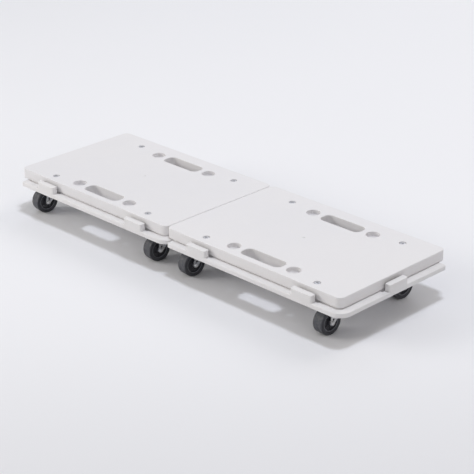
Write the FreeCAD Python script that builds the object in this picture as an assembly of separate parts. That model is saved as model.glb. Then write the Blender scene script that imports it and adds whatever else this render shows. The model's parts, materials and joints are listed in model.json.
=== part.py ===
import FreeCAD, Part
import math
import os
from FreeCAD import Vector

# A pair of identical flat dolly boards, hooked end to end.  Each board is a
# ribbed deck moulding screwed to a base frame moulding, and rolls on four
# small swivel casters.  The frame's flange stands out past the deck on two
# sides (front and right) and carries upright link tabs.  On the other two
# sides the deck overhangs, so its wall drops in behind the next board's tabs.
#
# Millimetres, +Z up, floor at z = 0, origin on the floor under the middle of
# the pair.  Front is -Y.  Board "a" is on the left (-X), board "b" on the
# right (+X).  A board is modelled about its own middle, then moved.

# ---------------------------------------------------------- board dimensions
board_length = 410.0          # footprint along X, flange included
board_width = 275.0           # footprint along Y, flange included
board_pitch = 397.0           # from one board to the next when hooked together
z_top = 80.0                  # top of the deck

flange_reach = 14.0           # flange beyond the deck wall, front and right
overhang = 15.0               # deck beyond the frame, left and back
deck_height = 20.0            # deck top down to the flange
flange_thickness = 8.0
rib = 2.0                     # thickness of every rib

x_lo = -board_length / 2      # deck left wall
x_hi = board_length / 2       # flange right edge
y_lo = -board_width / 2       # flange front edge
y_hi = board_width / 2        # deck back wall
deck_x_hi = x_hi - flange_reach
deck_y_lo = y_lo + flange_reach
frame_x_lo = x_lo + overhang
frame_y_hi = y_hi - overhang
z_flange = z_top - deck_height
z_frame = z_flange - flange_thickness

# features shared by deck and frame
hand_hole_length = 88.0
hand_hole_width = 27.0
hand_hole_corner_r = 10.5
hand_hole_y = 97.0            # one in front, one behind the middle

step_hole_x = 67.5            # four stepped round holes beside the hand holes
step_hole_y = hand_hole_y
step_bore_r = 3.5             # narrow lower part of a stepped hole

deck_screw_x = 125.5
deck_screw_y = 105.0
deck_screw_head_t = 3.0
deck_screw_sink = 0.4         # head top below the deck top
deck_screw_seat = z_top - deck_screw_head_t - deck_screw_sink
screw_shank_r = 2.0
screw_pilot_r = 2.05

tab_length = 45.0
tab_depth = 10.0
tab_front_x = 119.5           # two tabs on the front edge, one on the right

# caster places
caster_centre_x = -5.0        # middle of the four swivel axes
caster_half_x = 154.6
caster_half_y = 90.0
caster_corners = ("front_left", "front_right", "rear_left", "rear_right")
caster_turn = {               # rest angle of each swivel, degrees, in corner order
    "a": (-8.0, -7.5, -6.0, -6.5),
    "b": (-6.5, -3.5, -7.0, -5.0),
}
pad_bottom = 56.5             # face the mount plates are screwed to
plate_side = 38.0             # square mount plate
plate_screw_offset = 14.5     # screws from the swivel axis, along X and along Y

# modelling allowances
past = 1.0                    # a cutter runs on past the face it opens
bite = 0.5                    # a fused piece sinks into its neighbour


# ------------------------------------------------------------------- helpers
def box(x0, y0, z0, x1, y1, z1):
    return Part.makeBox(x1 - x0, y1 - y0, z1 - z0, Vector(x0, y0, z0))


def cyl(radius, z0, z1, x=0.0, y=0.0):
    return Part.makeCylinder(radius, z1 - z0, Vector(x, y, z0))


def cyl_x(radius, x0, x1, y=0.0, z=0.0):
    return Part.makeCylinder(radius, x1 - x0, Vector(x0, y, z), Vector(1, 0, 0))


def polygon_face(points):
    return Part.Face(Part.makePolygon(points + points[:1]))


def rounded_wire(x0, y0, x1, y1, radii, z):
    """Rectangle; radii in order (-x,-y), (+x,-y), (+x,+y), (-x,+y)."""
    points = [Vector(x0, y0, z), Vector(x1, y0, z), Vector(x1, y1, z), Vector(x0, y1, z)]
    headings = [Vector(1, 0, 0), Vector(0, 1, 0), Vector(-1, 0, 0), Vector(0, -1, 0)]
    edges = []
    for i in range(4):
        j = (i + 1) % 4
        corner, radius = points[j], radii[j]
        line_end = corner - headings[i] * radius
        edges.append(Part.makeLine(points[i] + headings[i] * radii[i], line_end))
        if radius > 0:
            arc_end = corner + headings[j] * radius
            inward = headings[j] - headings[i]
            middle = corner + inward * (radius * (1 - math.sqrt(0.5)))
            edges.append(Part.Arc(line_end, middle, arc_end).toShape())
    return Part.Wire(edges)


def slab(x0, y0, x1, y1, radii, z0, z1):
    """Upright block with rounded corners: one radius, or four as in rounded_wire."""
    if not isinstance(radii, tuple):
        radii = (radii,) * 4
    face = Part.Face(rounded_wire(x0, y0, x1, y1, radii, z0))
    return face.extrude(Vector(0, 0, z1 - z0))


def centred_slab(half_x, half_y, radius, z0, z1, x=0.0, y=0.0):
    return slab(x - half_x, y - half_y, x + half_x, y + half_y, radius, z0, z1)


def hand_hole(y, margin, z0, z1):
    return centred_slab(hand_hole_length / 2 + margin, hand_hole_width / 2 + margin,
                        hand_hole_corner_r + margin, z0, z1, 0.0, y)


def edges_at(shape, z, keep=None):
    """Edges lying flat at height z whose centre passes the keep test."""
    found = []
    for edge in shape.Edges:
        bounds = edge.BoundBox
        if abs(bounds.ZMin - z) < 1e-4 and abs(bounds.ZMax - z) < 1e-4:
            if keep is None or keep(bounds.Center):
                found.append(edge)
    return found


def fuse_all(shape, pieces):
    for piece in pieces:
        shape = shape.fuse(piece)
    return shape


def cut_all(shape, pieces):
    for piece in pieces:
        shape = shape.cut(piece)
    return shape


def one_solid(shape):
    solids = shape.removeSplitter().Solids
    if len(solids) != 1:
        raise ValueError("expected one solid, got %d" % len(solids))
    return solids[0]


def placed(shape, x, y, turn=0.0):
    moved = shape.copy()
    if turn:
        moved.rotate(Vector(0, 0, 0), Vector(0, 0, 1), turn)
    moved.translate(Vector(x, y, 0))
    return moved


def corners(half_x, half_y):
    # same order as caster_corners
    return [(-half_x, -half_y), (half_x, -half_y), (-half_x, half_y), (half_x, half_y)]


hand_hole_ys = (-hand_hole_y, hand_hole_y)
step_holes = corners(step_hole_x, step_hole_y)
deck_screw_places = corners(deck_screw_x, deck_screw_y)
plate_screw_places = corners(plate_screw_offset, plate_screw_offset)
pivots = [(caster_centre_x + x, y) for x, y in corners(caster_half_x, caster_half_y)]

# -------------------------------------------------------------- deck moulding
deck_corner_r = 11.0
deck_top_edge_r = 1.3
deck_skin = 3.0
deck_wall = 2.5
deck_under = z_top - deck_skin     # underside of the skin
seam_height = 2.0             # shadow seam between deck wall and flange
seam_depth = 2.0
seam_land = 1.4               # wall left behind the seam
foot_height = 4.0             # thickened foot of the wall
foot_left_length = 8.0        # the foot turns the front left corner this far
overhang_clear = 0.8          # overhanging walls stop this far above the flange

hand_hole_wall = 2.5
hand_hole_edge_r = 1.4
step_hole_r = 12.2
step_hole_depth = 8.0
step_hole_edge_r = 0.8
step_cup_wall = 2.3
step_cup_floor = 2.5
step_tube_wall = 2.5
screw_recess_r = 6.0
screw_cup_wall = 1.8
screw_cup_bottom = z_top - 9.0
screw_post_r = 4.6
deck_screw_bore_r = 2.3
gate_mark_r = 2.2
gate_mark_depth = 0.45

# places of the ribs that run along Y, of those that run along X, and their foot;
# the full-depth ones carry the load to the frame
deck_ribs = [
    ((-100.0, 100.0), (-55.0, 55.0), z_flange),
    ((-165.0, -33.0, 33.0, 155.0), (0.0,), z_top - 12.0),
]
socket_clear = 1.0            # socket cheek from the end of the next board's tab
socket_lift = 1.2             # socket cheeks stop this far above the flange
socket_frame_gap = 0.2


def deck_outline(inset, z0, z1):
    return slab(x_lo + inset, deck_y_lo + inset, deck_x_hi - inset, y_hi - inset,
                deck_corner_r - inset, z0, z1)


def make_deck_shell():
    deck = deck_outline(0.0, z_flange, z_top)
    deck = deck.makeFillet(deck_top_edge_r, edges_at(deck, z_top))
    deck = deck.cut(deck_outline(deck_wall, z_flange - past, deck_under))

    # hand holes, stepped holes and screw recesses through the skin
    cutters = [hand_hole(y, 0.0, z_flange, z_top + past) for y in hand_hole_ys]
    for places, radius in ((step_holes, step_hole_r), (deck_screw_places, screw_recess_r)):
        cutters += [cyl(radius, z_flange, z_top + past, x, y) for x, y in places]
    deck = cut_all(deck, cutters)

    def at_hand_hole(centre):
        return (abs(abs(centre.y) - hand_hole_y) < hand_hole_width
                and abs(centre.x) < hand_hole_length / 2 + 2)

    def at_step_hole(centre):
        return (abs(abs(centre.x) - step_hole_x) < 2
                and abs(abs(centre.y) - step_hole_y) < 2)

    deck = deck.makeFillet(hand_hole_edge_r, edges_at(deck, z_top, at_hand_hole))
    return deck.makeFillet(step_hole_edge_r, edges_at(deck, z_top, at_step_hole))


def make_seam_ring():
    # cutter round the foot of the wall, left off the overhanging sides
    low, high = z_flange - 2 * past, z_flange + foot_height
    ring = slab(x_lo - past, deck_y_lo - past, deck_x_hi + past, y_hi + past, 0,
                z_flange - past, z_flange + seam_height)
    return cut_all(ring, [
        deck_outline(seam_depth, low, high),
        box(x_lo - 2 * past, frame_y_hi, low, x_hi, y_hi + 2 * past, high),
        box(x_lo - 2 * past, deck_y_lo + seam_depth, low, frame_x_lo, y_hi + 2 * past, high),
    ])


def make_wall_foot():
    # thickens the wall inside, to leave a land behind the seam
    low, high = z_flange - past, z_flange + foot_height + past
    foot = deck_outline(seam_depth, z_flange, z_flange + foot_height)
    return cut_all(foot, [
        deck_outline(seam_depth + seam_land, low, high),
        box(x_lo - past, frame_y_hi, low, x_hi, y_hi + past, high),
        box(x_lo - past, deck_y_lo + foot_left_length, low, frame_x_lo, y_hi + past, high),
    ])


def shape_wall_foot(deck):
    low, high = z_flange - past, z_flange + overhang_clear
    deck = deck.fuse(make_wall_foot())
    return cut_all(deck, [
        make_seam_ring(),
        box(x_lo - past, deck_y_lo - past, low, frame_x_lo, y_hi + past, high),
        box(x_lo - past, frame_y_hi, low, deck_x_hi + past, y_hi + past, high),
    ])


def deck_underside_pieces():
    top = deck_under + bite
    step_floor = z_top - step_hole_depth
    # walls of the hand holes, down to the frame
    pieces = [hand_hole(y, hand_hole_wall, z_flange, top) for y in hand_hole_ys]
    # cups of the stepped holes, and their central tubes down to the frame
    for x, y in step_holes:
        pieces.append(cyl(step_hole_r + step_cup_wall, step_floor - step_cup_floor, top, x, y))
        pieces.append(cyl(step_bore_r + step_tube_wall, z_flange, step_floor - 1.0, x, y))
    # screw posts
    for x, y in deck_screw_places:
        pieces.append(cyl(screw_recess_r + screw_cup_wall, screw_cup_bottom, top, x, y))
        pieces.append(cyl(screw_post_r, z_flange, screw_cup_bottom + bite, x, y))
    for rib_xs, rib_ys, bottom in deck_ribs:
        for x in rib_xs:
            pieces.append(box(x - rib / 2, deck_y_lo + deck_wall - bite, bottom,
                              x + rib / 2, frame_y_hi - 1.0, top))
        for y in rib_ys:
            pieces.append(box(frame_x_lo + 1.0, y - rib / 2, bottom,
                              deck_x_hi - deck_wall + bite, y + rib / 2, top))
    # cheeks of the sockets that keep the next board's tabs from sliding sideways
    near = tab_length / 2 + socket_clear
    bottom = z_flange + socket_lift
    for start in (-near - rib, near):
        end = start + rib
        pieces.append(box(x_lo + deck_wall - bite, start, bottom,
                          frame_x_lo - socket_frame_gap, end, top))
        for x in (-tab_front_x, tab_front_x):
            pieces.append(box(x + start, frame_y_hi + socket_frame_gap, bottom,
                              x + end, y_hi - deck_wall + bite, top))
    return pieces


def deck_bores():
    low = z_flange - past
    bores = [hand_hole(y, 0.0, low, deck_under + past) for y in hand_hole_ys]
    for x, y in step_holes:
        bores.append(cyl(step_hole_r, z_top - step_hole_depth, deck_under + past, x, y))
        bores.append(cyl(step_bore_r, low, z_top, x, y))
    for x, y in deck_screw_places:
        bores.append(cyl(screw_recess_r, deck_screw_seat, z_top, x, y))
        bores.append(cyl(deck_screw_bore_r, low, z_top, x, y))
    # gate mark in the middle of the deck
    bores.append(cyl(gate_mark_r, z_top - gate_mark_depth, z_top + past,
                     (x_lo + deck_x_hi) / 2, (deck_y_lo + y_hi) / 2))
    return bores


def make_deck():
    deck = shape_wall_foot(make_deck_shell())
    deck = fuse_all(deck, deck_underside_pieces())
    # bores are cut last so that they pass through everything added
    return one_solid(cut_all(deck, deck_bores()))


# ----------------------------------------------------------------- base frame
frame_skin = 3.0
frame_rim = 3.0
frame_radii = (5.0, 22.0, 5.0, 5.0)    # the front right corner is the wide one
frame_top_edge_r = 1.8
frame_bottom_edge_r = 0.8
frame_under = z_flange - frame_skin    # underside of the skin
frame_rib_bottom = z_frame + 0.3
frame_rib_xs = (-100.0, -33.0, 33.0, 100.0)
frame_rib_ys = (-55.0, 0.0, 55.0)
rail_outer = 15.0             # inner rails, from the front and right edges
rail_inner = rail_outer + rib

tab_bottom = z_frame + frame_bottom_edge_r + 0.2
tab_top = 73.8
tab_top_outer = 72.4          # the top slopes down to the outer face
tab_outer_corner_r = 3.5
tab_inner_corner_r = 1.0
tab_top_edge_r = 0.9
tab_wall = 3.0                # outer face and ends
tab_thin_wall = 2.5           # inner face and top
tab_relief = 1.2              # slit at each end of a tab
tab_pocket_reach = 6.0        # the pocket behind a tab runs on past its ends
tab_pocket_under = 1.5        # and in under the deck wall
tab_pocket_bottom = 54.0
tab_tray_wall = 1.8

hand_hole_collar = 3.0
step_collar_r = 6.0
step_bore_clear = 0.5
screw_collar_r = 5.0
screw_pilot_floor = 1.6       # left under the deck screw pilot holes

seat_half = plate_side / 2 + 0.6
seat_corner_r = 4.6
seat_wall = 2.0
seat_wall_corner_r = 6.0
plate_boss_r = 4.2
plate_boss_top = 66.5
plate_pilot_top = 65.3
kingpin_recess_r = 8.0
kingpin_recess_depth = 2.0


# Tab pieces have the outer face on the plane y = 0 and the inner face at
# y = +tab_depth, centred on x = 0.
def make_tab():
    half = tab_length / 2
    tab = polygon_face([
        Vector(-half, 0, tab_bottom), Vector(-half, tab_depth, tab_bottom),
        Vector(-half, tab_depth, tab_top), Vector(-half, 0, tab_top_outer),
    ]).extrude(Vector(tab_length, 0, 0))
    radii = (tab_outer_corner_r, tab_outer_corner_r, tab_inner_corner_r, tab_inner_corner_r)
    tab = tab.common(slab(-half, 0, half, tab_depth, radii, tab_bottom - past, tab_top + past))
    top_edges = [e for e in tab.Edges if e.BoundBox.ZMin > tab_top_outer - 0.3]
    return tab.makeFillet(tab_top_edge_r, top_edges)


def make_tab_core():
    # hollows the tab from below
    half = tab_length / 2 - tab_wall
    return box(-half, tab_wall, tab_bottom - 5.0,
               half, tab_depth - tab_thin_wall, tab_top_outer - tab_thin_wall)


pocket_half = tab_length / 2 + tab_pocket_reach
pocket_back = flange_reach + tab_pocket_under


def make_tab_pocket():
    # room behind the tab for the next board's deck wall, and a slit at each end
    top = z_flange + past
    pocket = box(-pocket_half, tab_depth, tab_pocket_bottom, pocket_half, pocket_back, top)
    for start in (-tab_length / 2 - tab_relief, tab_length / 2):
        pocket = pocket.fuse(box(start, frame_rim, tab_pocket_bottom,
                                 start + tab_relief, tab_depth + bite, top))
    return pocket


def make_tab_tray():
    # closes the pocket off below
    half = pocket_half + tab_tray_wall
    return box(-half, frame_rim - bite, frame_rib_bottom,
               half, pocket_back + tab_tray_wall, frame_under + bite)


def at_tab_places(shape):
    return [placed(shape, -tab_front_x, y_lo), placed(shape, tab_front_x, y_lo),
            placed(shape, x_hi, 0, 90)]


def make_frame_shell():
    frame = slab(frame_x_lo, y_lo, x_hi, frame_y_hi, frame_radii, z_frame, z_flange)
    frame = frame.makeFillet(frame_top_edge_r, edges_at(frame, z_flange))
    frame = frame.makeFillet(frame_bottom_edge_r, edges_at(frame, z_frame))
    inner_radii = tuple(radius - frame_rim for radius in frame_radii)
    return frame.cut(slab(frame_x_lo + frame_rim, y_lo + frame_rim,
                          x_hi - frame_rim, frame_y_hi - frame_rim,
                          inner_radii, z_frame - past, frame_under))


def caster_seat(x, y, z0):
    return centred_slab(seat_half, seat_half, seat_corner_r, z0, pad_bottom, x, y)


def frame_pieces():
    bottom, top = frame_rib_bottom, frame_under + bite
    left = frame_x_lo + frame_rim - bite
    back = frame_y_hi - frame_rim + bite
    pieces = []
    for x in frame_rib_xs:
        pieces.append(box(x - rib / 2, y_lo + rail_inner, bottom, x + rib / 2, back, top))
    for y in frame_rib_ys:
        pieces.append(box(left, y - rib / 2, bottom, x_hi - rail_inner, y + rib / 2, top))
    # inner rails behind the flange, which close the ribs off
    pieces.append(box(left, y_lo + rail_outer, bottom,
                      x_hi - rail_outer, y_lo + rail_inner, top))
    pieces.append(box(x_hi - rail_inner, y_lo + rail_outer, bottom,
                      x_hi - rail_outer, back, top))
    # collars of the hand holes, stepped holes and deck screws
    pieces += [hand_hole(y, hand_hole_collar, bottom, top) for y in hand_hole_ys]
    pieces += [cyl(step_collar_r, bottom, top, x, y) for x, y in step_holes]
    pieces += [cyl(screw_collar_r, bottom, top, x, y) for x, y in deck_screw_places]
    # caster pads: a flat seat with a low wall round it and four screw bosses on top
    for x, y in pivots:
        wall_half = seat_half + seat_wall
        wall = centred_slab(wall_half, wall_half, seat_wall_corner_r, bottom, top, x, y)
        pieces.append(wall.cut(caster_seat(x, y, bottom - past)))
        for dx, dy in plate_screw_places:
            pieces.append(cyl(plate_boss_r, z_flange - bite, plate_boss_top, x + dx, y + dy))
    return pieces


def frame_bores():
    low, high = z_frame - past, z_flange + past
    bores = [hand_hole(y, 0.0, low, high) for y in hand_hole_ys]
    bores += [cyl(step_bore_r + step_bore_clear, low, high, x, y) for x, y in step_holes]
    bores += [cyl(screw_pilot_r, z_frame + screw_pilot_floor, high, x, y)
              for x, y in deck_screw_places]
    for x, y in pivots:
        bores.append(caster_seat(x, y, low))
        bores.append(cyl(kingpin_recess_r, pad_bottom - past,
                         pad_bottom + kingpin_recess_depth, x, y))
        for dx, dy in plate_screw_places:
            bores.append(cyl(screw_pilot_r, pad_bottom - past, plate_pilot_top,
                             x + dx, y + dy))
    return bores


def make_frame():
    frame = make_frame_shell()
    frame = fuse_all(frame, at_tab_places(make_tab_tray()))
    frame = cut_all(frame, at_tab_places(make_tab_pocket()))
    frame = fuse_all(frame, at_tab_places(make_tab()))
    frame = cut_all(frame, at_tab_places(make_tab_core()))
    frame = fuse_all(frame, frame_pieces())
    return one_solid(cut_all(frame, frame_bores()))


# --------------------------------------------------------------------- screws
plate_t = 2.0
plate_bottom = pad_bottom - plate_t

deck_head_r = 5.3
deck_head_edge_r = 0.9
deck_shank_bottom = z_frame + 2.4
deck_cross_depth = 1.6
plate_head_r = 3.5
plate_head_t = 2.1
plate_head_edge_r = 0.8
plate_shank_top = 64.5
plate_cross_depth = 1.2
shank_bite = 0.2              # shank sunk into the head


def cross_recess(reach, half_width, z0, z1):
    bar = box(-reach, -half_width, z0, reach, half_width, z1)
    return bar.fuse(box(-half_width, -reach, z0, half_width, reach, z1))


def make_deck_screw():
    head_top = deck_screw_seat + deck_screw_head_t
    head = cyl(deck_head_r, deck_screw_seat, head_top)
    head = head.makeFillet(deck_head_edge_r, edges_at(head, head_top))
    screw = head.fuse(cyl(screw_shank_r, deck_shank_bottom, deck_screw_seat + shank_bite))
    return one_solid(screw.cut(cross_recess(
        reach=3.1, half_width=0.6, z0=head_top - deck_cross_depth, z1=head_top + past)))


def make_plate_screw():
    # head down, under the mount plate
    head_bottom = plate_bottom - plate_head_t
    head = cyl(plate_head_r, head_bottom, plate_bottom)
    head = head.makeFillet(plate_head_edge_r, edges_at(head, head_bottom))
    screw = head.fuse(cyl(screw_shank_r, plate_bottom - shank_bite, plate_shank_top))
    return one_solid(screw.cut(cross_recess(
        reach=2.0, half_width=0.45, z0=head_bottom - 0.9,
        z1=head_bottom + plate_cross_depth)))


# --------------------------------------------------------------------- caster
# Every caster piece is made with its swivel axis on x = y = 0, its axle along X
# and the wheel trailing towards -Y, then turned and moved into place.
caster_trail = 17.0           # swivel axis to axle
wheel_r = 22.0                # also the height of the axle
wheel_width = 20.0
tyre_bore_r = 15.5
tyre_key_half = 3.0           # hub ridge that keys into the tyre, half width
tyre_key_r = tyre_bore_r + 1.2

sleeve_r = 4.0
sleeve_end_gap = 0.02
sleeve_clear = 0.02           # round the axle
hub_bore_r = sleeve_r + 0.05
hub_end_gap = 0.2
hub_rim_inset = 0.55          # hub rim in from the tyre's side
hub_disc_half = 6.8           # half thickness of the hub's disc
hub_web_count = 6
hub_web_half = 0.6            # half thickness of a web
hub_web_proud = 1.1           # webs stand out from the disc

fork_inside = 22.8
fork_sheet = 1.8
fork_outer = fork_inside / 2 + fork_sheet
fork_eye_r = 4.8
fork_window_r = 2.0           # round window in each cheek, above the axle
fork_window_dy = 2.0          # from the axle toward the swivel axis
fork_window_dz = 6.0          # and up
fork_front = 12.0             # front of the fork, ahead of the swivel axis
fork_web_bottom = 46.4
crown_r = 16.5
crown_bottom = 50.6
crown_top = 52.6
crown_edge_r = 0.6

axle_r = 2.48
axle_clear = 0.03             # in the fork
axle_head_r = 3.7
axle_head_t = 2.4
axle_head_edge_r = 1.4
axle_formed_t = 2.0
axle_formed_edge_r = 1.0
axle_reach_left = 1.5         # shank past the cheeks, -X and +X
axle_reach_right = 2.5

plate_corner_r = 4.0
plate_screw_hole_r = 2.25
kingpin_r = 5.0
kingpin_plate_clear = 0.02
kingpin_fork_clear = 0.05
race_r = 11.0
ball_r = 1.6
ball_z = (crown_top + plate_bottom) / 2
ball_count = 12


def ball_groove():
    return Part.makeTorus(race_r, ball_r + 0.05, Vector(0, 0, ball_z))


def make_plate():
    low, high = plate_bottom - past, pad_bottom + past
    plate = centred_slab(plate_side / 2, plate_side / 2, plate_corner_r,
                         plate_bottom, pad_bottom)
    plate = plate.cut(cyl(kingpin_r + kingpin_plate_clear, low, high))
    for x, y in plate_screw_places:
        plate = plate.cut(cyl(plate_screw_hole_r, low, high, x, y))
    return one_solid(plate.cut(ball_groove()))


def make_kingpin():
    # rivet: formed head above the plate, wide head under the fork crown
    bottom = crown_bottom - 2.2
    top = pad_bottom + 1.7
    shank = cyl(kingpin_r, bottom, pad_bottom + 1.0)
    upper = cyl(7.0, pad_bottom, top)
    upper = upper.makeFillet(0.8, edges_at(upper, top))
    lower = cyl(8.0, bottom, crown_bottom - 0.1)
    lower = lower.makeFillet(0.9, edges_at(lower, bottom))
    return one_solid(shank.fuse(upper).fuse(lower))


def make_balls():
    balls = []
    for i in range(ball_count):
        angle = 2 * math.pi * (i + 0.5) / ball_count
        balls.append(Part.makeSphere(ball_r, Vector(race_r * math.cos(angle),
                                                    race_r * math.sin(angle), ball_z)))
    return balls


# fork cheek: distance behind the swivel axis, height; wide at the crown,
# narrowing to the round eye at the axle
cheek_outline = [
    (-fork_front, 51.6), (14.0, 51.6), (17.0, 48.8),
    (caster_trail + 0.97 * fork_eye_r, wheel_r + 0.22 * fork_eye_r),
    (caster_trail - 0.71 * fork_eye_r, wheel_r - 0.70 * fork_eye_r),
    (-fork_front, 46.0),
]


def make_cheek(x):
    cheek = polygon_face([Vector(x, -behind, z) for behind, z in cheek_outline])
    cheek = cheek.extrude(Vector(fork_sheet, 0, 0))
    return cheek.fuse(cyl_x(fork_eye_r, x, x + fork_sheet, -caster_trail, wheel_r))


def make_fork():
    half = fork_inside / 2
    fork = cyl(crown_r, crown_bottom, crown_top)
    fork = fork.makeFillet(crown_edge_r, edges_at(fork, crown_top))
    fork = fork.fuse(make_cheek(-fork_outer)).fuse(make_cheek(half))
    # front web of the pressing, folded between the cheeks ahead of the wheel
    fork = fork.fuse(box(-half - bite, fork_front - fork_sheet, fork_web_bottom,
                         half + bite, fork_front, crown_bottom + bite))
    return one_solid(cut_all(fork, [
        cyl(kingpin_r + kingpin_fork_clear, crown_bottom - past, crown_top + past),
        ball_groove(),
        cyl_x(axle_r + axle_clear, -20.0, 20.0, -caster_trail, wheel_r),
        cyl_x(fork_window_r, -20.0, 20.0,
              fork_window_dy - caster_trail, wheel_r + fork_window_dz),
    ]))


def on_axle(shape):
    """Move a piece made round the X axis to the axle."""
    solid = one_solid(shape)
    solid.translate(Vector(0, -caster_trail, wheel_r))
    return solid


def make_axle():
    # riveted axle: a set head on the +X side, a formed head on the -X side
    shank = cyl_x(axle_r, -fork_outer - axle_reach_left, fork_outer + axle_reach_right)
    head_end = fork_outer + axle_head_t
    head = cyl_x(axle_head_r, fork_outer, head_end)
    head = head.makeFillet(axle_head_edge_r, [
        e for e in head.Edges if abs(e.BoundBox.XMin - head_end) < 1e-4])
    formed_end = -fork_outer - axle_formed_t
    formed = cyl_x(axle_head_r, formed_end, -fork_outer)
    formed = formed.makeFillet(axle_formed_edge_r, [
        e for e in formed.Edges if abs(e.BoundBox.XMax - formed_end) < 1e-4])
    return on_axle(shank.fuse(head).fuse(formed))


def revolve_mirrored(half_profile):
    """Turn a profile about X; (x, radius) points of its +X half, mirrored to -X."""
    profile = half_profile + [(-x, radius) for x, radius in reversed(half_profile)]
    face = polygon_face([Vector(x, radius, 0) for x, radius in profile])
    return face.revolve(Vector(0, 0, 0), Vector(1, 0, 0), 360)


def make_sleeve():
    end = fork_inside / 2 - sleeve_end_gap
    return on_axle(revolve_mirrored([(end, axle_r + sleeve_clear), (end, sleeve_r)]))


def make_hub():
    end = fork_inside / 2 - hub_end_gap
    rim = wheel_width / 2 - hub_rim_inset
    hub = revolve_mirrored([
        (end, hub_bore_r), (end, 5.4), (end - 0.6, 6.0),
        (hub_disc_half, 6.6), (hub_disc_half, 13.2),
        (rim - 0.5, 13.9), (rim, 14.4), (rim, tyre_bore_r),
        (tyre_key_half, tyre_bore_r), (tyre_key_half, tyre_key_r),
    ])
    # low radial webs on each side of the disc
    reach = hub_disc_half + hub_web_proud
    for i in range(hub_web_count):
        web = box(-reach, 5.6, -hub_web_half, reach, 13.6, hub_web_half)
        web.rotate(Vector(0, 0, 0), Vector(1, 0, 0), 360.0 / hub_web_count * (i + 0.5))
        hub = hub.fuse(web)
    return on_axle(hub)


def make_tyre():
    side = wheel_width / 2
    return on_axle(revolve_mirrored([
        (tyre_key_half, tyre_key_r), (tyre_key_half, tyre_bore_r),
        (side - 0.4, tyre_bore_r), (side, tyre_bore_r + 0.5),
        (side, wheel_r - 1.5), (side - 0.2, wheel_r - 0.85), (side - 0.6, wheel_r - 0.4),
        (side - 1.2, wheel_r - 0.1), (side - 2.0, wheel_r),
    ]))


# ------------------------------------------------------------------- assembly
def save(shape, name):
    shape.exportStep("parts/%s.step" % name)


os.makedirs("parts", exist_ok=True)

board_pieces = {"deck": make_deck(), "base_frame": make_frame()}
swivel_pieces = {
    "fork": make_fork(),
    "axle": make_axle(),
    "axle_sleeve": make_sleeve(),
    "wheel_hub": make_hub(),
    "tyre": make_tyre(),
}
mount_plate = make_plate()
kingpin = make_kingpin()
balls = make_balls()
deck_screw = make_deck_screw()
plate_screw = make_plate_screw()

for board, board_x in (("a", -board_pitch / 2), ("b", board_pitch / 2)):
    for name, piece in board_pieces.items():
        save(placed(piece, board_x, 0), board + "_" + name)

    plate_screws, kingpins, race = [], [], []
    for corner, (pivot_x, y), turn in zip(caster_corners, pivots, caster_turn[board]):
        x = board_x + pivot_x
        prefix = board + "_" + corner + "_"
        save(placed(mount_plate, x, y), prefix + "mount_plate")
        for name, piece in swivel_pieces.items():
            save(placed(piece, x, y, turn), prefix + name)
        plate_screws += [placed(plate_screw, x + dx, y + dy) for dx, dy in plate_screw_places]
        kingpins.append(placed(kingpin, x, y))
        race += [placed(ball, x, y) for ball in balls]

    deck_screws = [placed(deck_screw, board_x + x, y) for x, y in deck_screw_places]
    save(Part.makeCompound(deck_screws), board + "_deck_screws")
    save(Part.makeCompound(plate_screws), board + "_caster_screws")
    save(Part.makeCompound(kingpins), board + "_kingpins")
    save(Part.makeCompound(race), board + "_swivel_balls")
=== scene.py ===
# Two caster dollies, boards "a" and "b": each a pale plastic deck on a base frame, with a
# swivel caster at each of its four corners. They stand on a floor at z = 0, +Z up. The CAD
# pieces keep their shape; this adds materials, a pale studio, lights and a camera.
import bpy
import bmesh
import json
import math
from mathutils import Matrix, Vector

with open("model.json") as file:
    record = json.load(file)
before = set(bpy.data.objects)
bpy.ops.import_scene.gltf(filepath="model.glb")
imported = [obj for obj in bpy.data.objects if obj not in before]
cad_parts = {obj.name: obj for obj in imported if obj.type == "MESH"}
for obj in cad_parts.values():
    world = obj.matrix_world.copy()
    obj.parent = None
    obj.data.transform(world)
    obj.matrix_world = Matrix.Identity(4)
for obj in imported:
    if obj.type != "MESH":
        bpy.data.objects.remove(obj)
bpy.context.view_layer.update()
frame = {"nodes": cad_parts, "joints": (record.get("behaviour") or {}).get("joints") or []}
scene = bpy.context.scene

BOARDS = ("a", "b")
CORNERS = ("front_left", "front_right", "rear_left", "rear_right")

# Wheel features, as distances from the axle line (m). Each pair is where a blend starts, ends.
TREAD_BLEND = (0.0205, 0.0217)
RINGS_INNER_BLEND = (0.0165, 0.0170)
RINGS_OUTER_BLEND = (0.0190, 0.0186)
RING_PITCH = 0.0012
# where the hub's painted rim highlight blends in
HUB_RIM_HIGHLIGHT_BLEND = (0.01395, 0.01420)


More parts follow.
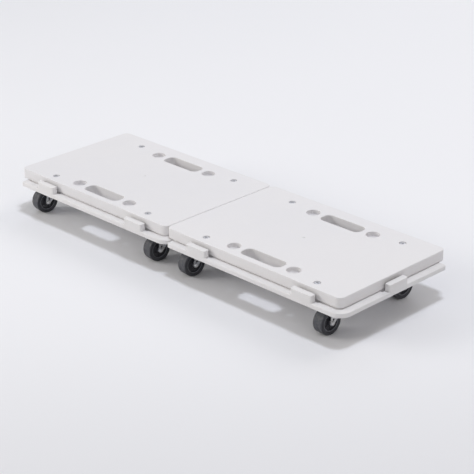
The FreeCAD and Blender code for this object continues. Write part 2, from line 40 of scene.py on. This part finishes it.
# ---------------------------------------------------------------- shader building
class Shader:
    """A material with one Principled shader, and short ways to build the nodes feeding it."""

    def __init__(self, name):
        self.mat = bpy.data.materials.new(name)
        self.mat.use_nodes = True
        self.tree = self.mat.node_tree
        self.tree.nodes.clear()
        output = self.node("OutputMaterial")
        self.bsdf = self.node("BsdfPrincipled")
        self.tree.links.new(self.bsdf.outputs[0], output.inputs["Surface"])

    def node(self, kind):
        return self.tree.nodes.new("ShaderNode" + kind)

    def put(self, socket, value):
        """Link a socket, or set a value; colours are given as r, g, b."""
        if isinstance(value, bpy.types.NodeSocket):
            self.tree.links.new(value, socket)
        elif socket.type == "RGBA":
            socket.default_value = (*value, 1.0)
        else:
            socket.default_value = value

    def set(self, name, value):
        self.put(self.bsdf.inputs[name], value)

    def coord(self):
        return self.node("TexCoord").outputs["Object"]

    def attribute(self, name):
        node = self.node("Attribute")
        node.attribute_type = "OBJECT"
        node.attribute_name = name
        return node.outputs["Vector"]

    def noise(self, scale, detail=2.0, rough=0.5, at=None):
        node = self.node("TexNoise")
        self.put(node.inputs["Scale"], scale)
        self.put(node.inputs["Detail"], detail)
        self.put(node.inputs["Roughness"], rough)
        self.put(node.inputs["Vector"], at or self.coord())
        return node.outputs["Fac"]

    def voronoi(self, scale, at=None):
        node = self.node("TexVoronoi")
        self.put(node.inputs["Scale"], scale)
        self.put(node.inputs["Vector"], at or self.coord())
        return node.outputs["Distance"]

    def math(self, operation, first, second=0.0):
        node = self.node("Math")
        node.operation = operation
        for socket, value in zip(node.inputs, (first, second, 0.0)):
            self.put(socket, value)
        return node.outputs[0]

    def times(self, first, second):
        return self.math("MULTIPLY", first, second)

    def vector(self, operation, first, second=None):
        node = self.node("VectorMath")
        node.operation = operation
        self.put(node.inputs[0], first)
        if second is not None:
            self.put(node.inputs[1], second)
        return node.outputs["Value" if operation in ("DOT_PRODUCT", "LENGTH") else "Vector"]

    def remap(self, value, between, to=(0.0, 1.0)):
        """Smooth clamped step over `between`, giving the range `to`."""
        node = self.node("MapRange")
        node.clamp = True
        node.interpolation_type = "SMOOTHSTEP"
        self.put(node.inputs["Value"], value)
        for end, source, target in zip(("Min", "Max"), between, to):
            self.put(node.inputs["From " + end], source)
            self.put(node.inputs["To " + end], target)
        return node.outputs["Result"]

    def patches(self, scale, detail=3.0, rough=0.6, at=None, between=(0.3, 0.7), to=(0.0, 1.0)):
        """Noise with its contrast raised by a remap."""
        return self.remap(self.noise(scale, detail, rough, at), between, to)

    def mix(self, factor, first, second):
        node = self.node("Mix")
        node.data_type = "RGBA"
        self.put(node.inputs["Factor"], factor)
        self.put(node.inputs[6], first)    # colour A
        self.put(node.inputs[7], second)   # colour B
        return node.outputs[2]             # colour result

    def overlay(self, under, colour, mask, strength):
        return self.mix(self.times(mask, strength), under, colour)

    def edge(self, radius):
        """0 on open faces, towards 1 within radius of a sharp edge, and the softened normal."""
        bevel = self.node("Bevel")
        bevel.samples = 6
        self.put(bevel.inputs["Radius"], radius)
        soft = bevel.outputs["Normal"]
        geometry = self.node("NewGeometry")
        facing = self.vector("DOT_PRODUCT", soft, geometry.outputs["Normal"])
        return self.remap(facing, between=(1.0, 0.80)), soft

    def bump(self, height, strength, distance, normal=None):
        node = self.node("Bump")
        self.put(node.inputs["Strength"], strength)
        self.put(node.inputs["Distance"], distance)
        self.put(node.inputs["Height"], height)
        if normal is not None:
            self.put(node.inputs["Normal"], normal)
        return node.outputs["Normal"]

    def axle_distance(self, coord):
        """Distance from the wheel's axle line, read from the object's own properties."""
        offset = self.vector("SUBTRACT", coord, self.attribute("wheel_centre"))
        along = self.vector("DOT_PRODUCT", offset, self.attribute("wheel_axle"))
        squared = self.vector("DOT_PRODUCT", offset, offset)
        return self.math("SQRT", self.math("SUBTRACT", squared, self.times(along, along)))


def shade(colour, factors):
    return tuple(min(1, channel * factor) for channel, factor in zip(colour, factors))


# ------------------------------------------------------------------- materials
def plastic(name, base, cool, warm, edge_tone, shift):
    """Pale moulded plastic: fine grain, slow tone drift, faint rub marks, paler edges that are
    partly worn and partly a painted highlight.
    `shift` moves the textures so that two pieces don't match."""
    s = Shader(name)
    at = s.vector("ADD", s.coord(), (shift, shift * 0.7, 0.0))
    drift = s.patches(scale=3.5, rough=0.55, at=at, between=(0.35, 0.65))
    cloud = s.patches(scale=22.0, detail=4.0, at=at)
    colour = s.overlay(s.mix(drift, cool, warm), base, mask=cloud, strength=0.35)

    # rub marks: long thin noise, only here and there
    stretched = s.vector("MULTIPLY", at, (14.0, 260.0, 60.0))
    streak = s.patches(scale=1.0, at=stretched, between=(0.60, 0.74))
    where = s.patches(scale=9.0, detail=2.0, rough=0.5, at=at, between=(0.52, 0.68))
    rub = s.times(streak, where)
    colour = s.overlay(colour, shade(base, (0.80, 0.80, 0.81)), mask=rub, strength=0.10)

    # paler edges: partly worn, partly a painted highlight where edges catch the light
    edge_wear_and_highlight, soft = s.edge(radius=0.0009)
    spots = s.patches(scale=140.0, at=at, between=(0.35, 0.62), to=(0.35, 1.0))
    s.set("Base Color", s.overlay(colour, edge_tone, mask=s.times(edge_wear_and_highlight, spots), strength=0.35))
    roughness = s.patches(scale=60.0, detail=4.0, at=at, to=(0.50, 0.60))
    # rubbed places are a little smoother
    s.set("Roughness", s.math("SUBTRACT", roughness, s.times(rub, 0.10)))
    s.set("Specular IOR Level", 0.42)
    s.set("Subsurface Weight", 0.04)
    s.set("Subsurface Radius", (0.004, 0.004, 0.004))
    s.set("Subsurface Scale", 0.5)

    # fine grain over a slow waviness
    cells = s.times(s.voronoi(scale=1500.0, at=at), 0.7)
    grain = s.math("ADD", cells, s.times(s.noise(scale=900.0, rough=0.6, at=at), 0.6))
    waves = s.noise(scale=7.0, detail=1.0, rough=0.4, at=at)
    wavy = s.bump(waves, strength=0.25, distance=0.0006, normal=soft)
    s.set("Normal", s.bump(grain, strength=0.16, distance=0.00010, normal=wavy))
    return s.mat


def tyre_material():
    """Dark rubber: the tread painted paler than the sidewall as painted light, with dust on the
    tread, and fine moulded rings on the sidewall.
    """
    s = Shader("tyre_rubber")
    radius = s.axle_distance(s.coord())
    tread = s.remap(radius, between=TREAD_BLEND)
    dust = s.patches(scale=170.0, detail=4.0, between=(0.40, 0.68))
    drift = s.noise(scale=28.0, detail=3.0)
    side = s.mix(drift, (0.036, 0.037, 0.044), (0.050, 0.052, 0.060))
    # tread colour painted paler than the sidewall: painted light, the tread lit and the
    # sidewall in shade
    tread_painted_light = s.mix(drift, (0.050, 0.053, 0.064), (0.068, 0.071, 0.084))
    colour = s.mix(tread, side, tread_painted_light)
    colour = s.overlay(colour, (0.19, 0.19, 0.195), mask=s.times(dust, tread), strength=0.30)
    # paler edges on the rubber: partly worn, partly a painted highlight
    edge_wear_and_highlight, soft = s.edge(radius=0.0006)
    s.set("Base Color", s.overlay(colour, (0.12, 0.125, 0.14), mask=edge_wear_and_highlight, strength=0.30))
    s.set("Roughness", s.patches(scale=220.0, to=(0.46, 0.66)))
    s.set("Specular IOR Level", 0.45)

    rings = s.math("SINE", s.times(radius, 2 * math.pi / RING_PITCH))
    band = s.times(s.remap(radius, between=RINGS_INNER_BLEND),
                   s.remap(radius, between=RINGS_OUTER_BLEND))
    rings = s.times(rings, band)
    grain = s.times(s.noise(scale=1600.0, rough=0.6), 0.5)
    relief = s.math("ADD", grain, s.times(rings, 0.35))
    s.set("Normal", s.bump(relief, strength=0.30, distance=0.00012, normal=soft))
    return s.mat


def hub_material():
    """Near-black plastic with its outer rim painted paler, a painted highlight where the rim
    bevel catches the light.
    """
    s = Shader("hub_plastic")
    rim_highlight = s.remap(s.axle_distance(s.coord()), between=HUB_RIM_HIGHLIGHT_BLEND)
    drift = s.noise(scale=60.0, detail=3.0)
    colour = s.mix(drift, (0.024, 0.025, 0.031), (0.038, 0.039, 0.047))
    # painted highlight: the outer rim coloured paler
    colour = s.mix(rim_highlight, colour, (0.15, 0.155, 0.175))
    # paler edges: partly worn, partly a painted highlight
    edge_wear_and_highlight, soft = s.edge(radius=0.0004)
    s.set("Base Color", s.overlay(colour, (0.10, 0.105, 0.12), mask=edge_wear_and_highlight, strength=0.35))
    s.set("Roughness", s.patches(scale=300.0, to=(0.30, 0.46)))
    grain = s.noise(scale=1300.0, rough=0.6)
    s.set("Normal", s.bump(grain, strength=0.20, distance=0.0001, normal=soft))
    return s.mat


def steel(name, main, second, roughness, brush=(30.0, 30.0, 900.0)):
    """Plated steel: slight tone drift, spangle, edges painted lighter as a painted highlight
    together with worn plating, and fine marks whose frequency along x, y, z is `brush`."""
    s = Shader(name)
    coord = s.coord()
    drift = s.patches(scale=55.0, rough=0.5, between=(0.35, 0.65))
    colour = s.mix(drift, main, second)
    spangle = s.voronoi(scale=420.0)
    colour = s.overlay(colour, shade(main, (0.78, 0.78, 0.80)), mask=spangle, strength=0.25)
    # edges painted lighter: a painted highlight, partly worn plating
    edge_wear_and_highlight, soft = s.edge(radius=0.0004)
    edge_highlight_tone = shade(main, (1.25, 1.25, 1.25))
    s.set("Base Color", s.overlay(colour, edge_highlight_tone, mask=edge_wear_and_highlight, strength=0.5))
    s.set("Metallic", 1.0)
    s.set("Roughness", s.patches(scale=260.0, to=roughness))
    marks = s.noise(scale=1.0, rough=0.6, at=s.vector("MULTIPLY", coord, brush))
    s.set("Normal", s.bump(marks, strength=0.18, distance=0.00006, normal=soft))
    return s.mat


deck = plastic("deck_plastic", base=(0.772, 0.762, 0.775), cool=(0.762, 0.754, 0.770),
               warm=(0.780, 0.768, 0.776), edge_tone=(0.83, 0.822, 0.83), shift=0.0)
base_frame = plastic("frame_plastic", base=(0.772, 0.762, 0.768), cool=(0.764, 0.756, 0.764),
                     warm=(0.780, 0.768, 0.768), edge_tone=(0.83, 0.822, 0.828), shift=3.1)
tyre = tyre_material()
hub = hub_material()
zinc = steel("zinc_steel", main=(0.62, 0.64, 0.68), second=(0.68, 0.68, 0.67),
             roughness=(0.20, 0.34))
axle = steel("axle_steel", main=(0.74, 0.755, 0.79), second=(0.77, 0.77, 0.76),
             roughness=(0.14, 0.26))
ball = steel("ball_steel", main=(0.72, 0.72, 0.74), second=(0.76, 0.76, 0.76),
             roughness=(0.08, 0.14), brush=(200.0, 200.0, 200.0))
screw = steel("screw_steel", main=(0.53, 0.52, 0.54), second=(0.59, 0.58, 0.58),
              roughness=(0.28, 0.42))

# the end of a piece's name decides its material
MATERIAL_BY_ENDING = {
    "_deck": deck, "_base_frame": base_frame, "_deck_screws": screw,
    "_caster_screws": zinc, "_kingpins": axle, "_swivel_balls": ball,
    "_mount_plate": zinc, "_fork": zinc, "_axle": axle,
    "_axle_sleeve": axle, "_wheel_hub": hub, "_tyre": tyre,
}


def piece_material(name):
    for ending, material in MATERIAL_BY_ENDING.items():
        if name.endswith(ending):
            return material
    raise ValueError(name)


for name, piece in frame["nodes"].items():
    piece.data.materials.clear()
    piece.data.materials.append(piece_material(name))
    for polygon in piece.data.polygons:
        polygon.material_index = 0

# each wheel piece carries its axle line for the radial shading
joints = {joint["name"]: joint for joint in frame["joints"]}
for board in BOARDS:
    for corner in CORNERS:
        spin = joints[f"{board}_{corner}_wheel_spin"]
        for part in ("tyre", "wheel_hub"):
            piece = frame["nodes"][f"{board}_{corner}_{part}"]
            piece["wheel_centre"] = [float(v) for v in spin["pos_m"]]
            piece["wheel_axle"] = [float(v) for v in spin["axis"]]


# ----------------------------------------------------------------------- floor
FLOOR_HALF_WIDTH = 12.0
TO_VIEWER = (0.717, -0.697, 0.0)


def floor_material():
    """Pale matte floor: a slow tone drift, painted shade making it a little darker toward the
    viewer, and emission painting light on it far beyond the object so it pales into the
    backdrop."""
    s = Shader("studio_floor")
    coord = s.coord()
    # painted shade: the floor colour darkens toward the viewer, standing in for light falling
    # off
    painted_shade_toward_viewer = s.remap(s.vector("DOT_PRODUCT", coord, TO_VIEWER), between=(0.15, 0.95))
    colour = s.mix(s.noise(scale=1.2), (0.855, 0.860, 0.885), (0.862, 0.866, 0.892))
    s.set("Base Color", s.mix(painted_shade_toward_viewer, colour, (0.756, 0.760, 0.782)))
    s.set("Roughness", s.patches(scale=9.0, rough=0.5, to=(0.72, 0.78)))
    s.set("Specular IOR Level", 0.2)
    s.set("Normal", s.bump(s.noise(scale=160.0), strength=0.05, distance=0.0002))
    # painted light: the far floor emits, paling it into the backdrop, though it is no lamp
    s.set("Emission Color", (0.95, 0.96, 1.0))
    painted_light_far_floor = s.remap(s.vector("LENGTH", coord), between=(2.6, 6.5), to=(0.0, 0.52))
    s.set("Emission Strength", painted_light_far_floor)
    return s.mat


floor_mesh = bpy.data.meshes.new("studio_floor")
grid = bmesh.new()
bmesh.ops.create_grid(grid, x_segments=8, y_segments=8, size=FLOOR_HALF_WIDTH)
grid.to_mesh(floor_mesh)
grid.free()
floor = bpy.data.objects.new("studio_floor", floor_mesh)
scene.collection.objects.link(floor)
floor.data.materials.append(floor_material())

# ----------------------------------------------------------------------- world
AMBIENT_COLOUR = (1.0, 0.978, 0.941, 1.0)
AMBIENT_STRENGTH = 0.35
BACKDROP_COLOUR = (0.80, 0.81, 0.84, 1.0)

world = bpy.data.worlds.new("studio")
scene.world = world
world.use_nodes = True
nodes, links = world.node_tree.nodes, world.node_tree.links
ambient = nodes["Background"]
ambient.inputs["Color"].default_value = AMBIENT_COLOUR
ambient.inputs["Strength"].default_value = AMBIENT_STRENGTH
# the camera sees a pale backdrop past the floor's edge; it lights nothing
backdrop = nodes.new("ShaderNodeBackground")
backdrop.inputs["Color"].default_value = BACKDROP_COLOUR
light_path = nodes.new("ShaderNodeLightPath")
pick = nodes.new("ShaderNodeMixShader")
links.new(light_path.outputs["Is Camera Ray"], pick.inputs[0])
links.new(ambient.outputs[0], pick.inputs[1])
links.new(backdrop.outputs[0], pick.inputs[2])
links.new(pick.outputs[0], nodes["World Output"].inputs["Surface"])


# ---------------------------------------------------------------------- lights
def area(name, pos, target, size, watts, size_y=None, tint=(1.0, 1.0, 1.0)):
    """Area light aimed at target: a disk, or a rectangle where size_y is given."""
    light = bpy.data.lights.new(name, "AREA")
    light.shape = "DISK" if size_y is None else "RECTANGLE"
    light.size = size
    if size_y is not None:
        light.size_y = size_y
    light.energy = watts
    light.color = tint
    lamp = bpy.data.objects.new(name, light)
    scene.collection.objects.link(lamp)
    lamp.location = pos
    lamp.rotation_mode = "QUATERNION"
    lamp.rotation_quaternion = (Vector(target) - Vector(pos)).to_track_quat("-Z", "Y")


area("key_light", pos=(0.379, 0.268, 4.03), target=(0.379, 0.268, 0.0),
     size=0.66, watts=52.4, tint=(0.947, 0.984, 1.08))
area("left_fill", pos=(-2.6, -2.6, 1.5), target=(0.0, 0.0, 0.05),
     size=1.8, size_y=1.4, watts=60.6, tint=(1.035, 1.005, 0.958))
area("right_fill", pos=(3.2, -0.6, 1.6), target=(0.0, 0.0, 0.05),
     size=1.4, size_y=1.2, watts=10.4, tint=(1.01, 0.98, 1.01))
area("top_fill", pos=(0.6, -2.2, 3.2), target=(0.0, 0.0, 0.0),
     size=2.0, size_y=2.0, watts=5.8)
area("back_fill", pos=(0.4, 3.4, 2.6), target=(0.4, 1.0, 0.0),
     size=2.0, size_y=2.0, watts=31.2, tint=(1.063, 0.998, 0.936))
area("backdrop_light", pos=(-3.0, 3.4, 2.6), target=(-2.6, 3.0, 0.0),
     size=3.0, size_y=3.0, watts=35.6, tint=(0.885, 0.975, 1.14))

view = scene.view_settings
view.view_transform = "Standard"
view.look = "None"
view.exposure = 0.0
view.gamma = 1.0

# ---------------------------------------------------------------------- camera
CAMERA_POS = (1.8199, -1.7676, 1.1589)
AZIMUTH = math.radians(45.20)     # turned from +Y towards -X
ELEVATION = math.radians(24.11)   # looking down
ROLL = math.radians(-0.47)
SENSOR_WIDTH = 36.0               # mm
FOCAL_LENGTH = 119.7546835        # mm

look = Vector((-math.sin(AZIMUTH) * math.cos(ELEVATION),
               math.cos(AZIMUTH) * math.cos(ELEVATION), -math.sin(ELEVATION)))
level = Vector((math.cos(AZIMUTH), math.sin(AZIMUTH), 0.0))
upright = level.cross(look)
right = level * math.cos(ROLL) + upright * math.sin(ROLL)
up = -level * math.sin(ROLL) + upright * math.cos(ROLL)

camera = bpy.data.cameras.new("camera")
camera_object = bpy.data.objects.new("camera", camera)
scene.collection.objects.link(camera_object)
rows = [*zip(right, up, -look, CAMERA_POS), (0, 0, 0, 1)]
camera_object.matrix_world = Matrix(rows)
camera.sensor_fit = "HORIZONTAL"
camera.sensor_width = SENSOR_WIDTH
camera.lens = FOCAL_LENGTH
camera.clip_start = 0.05
camera.clip_end = 60.0
scene.camera = camera_object
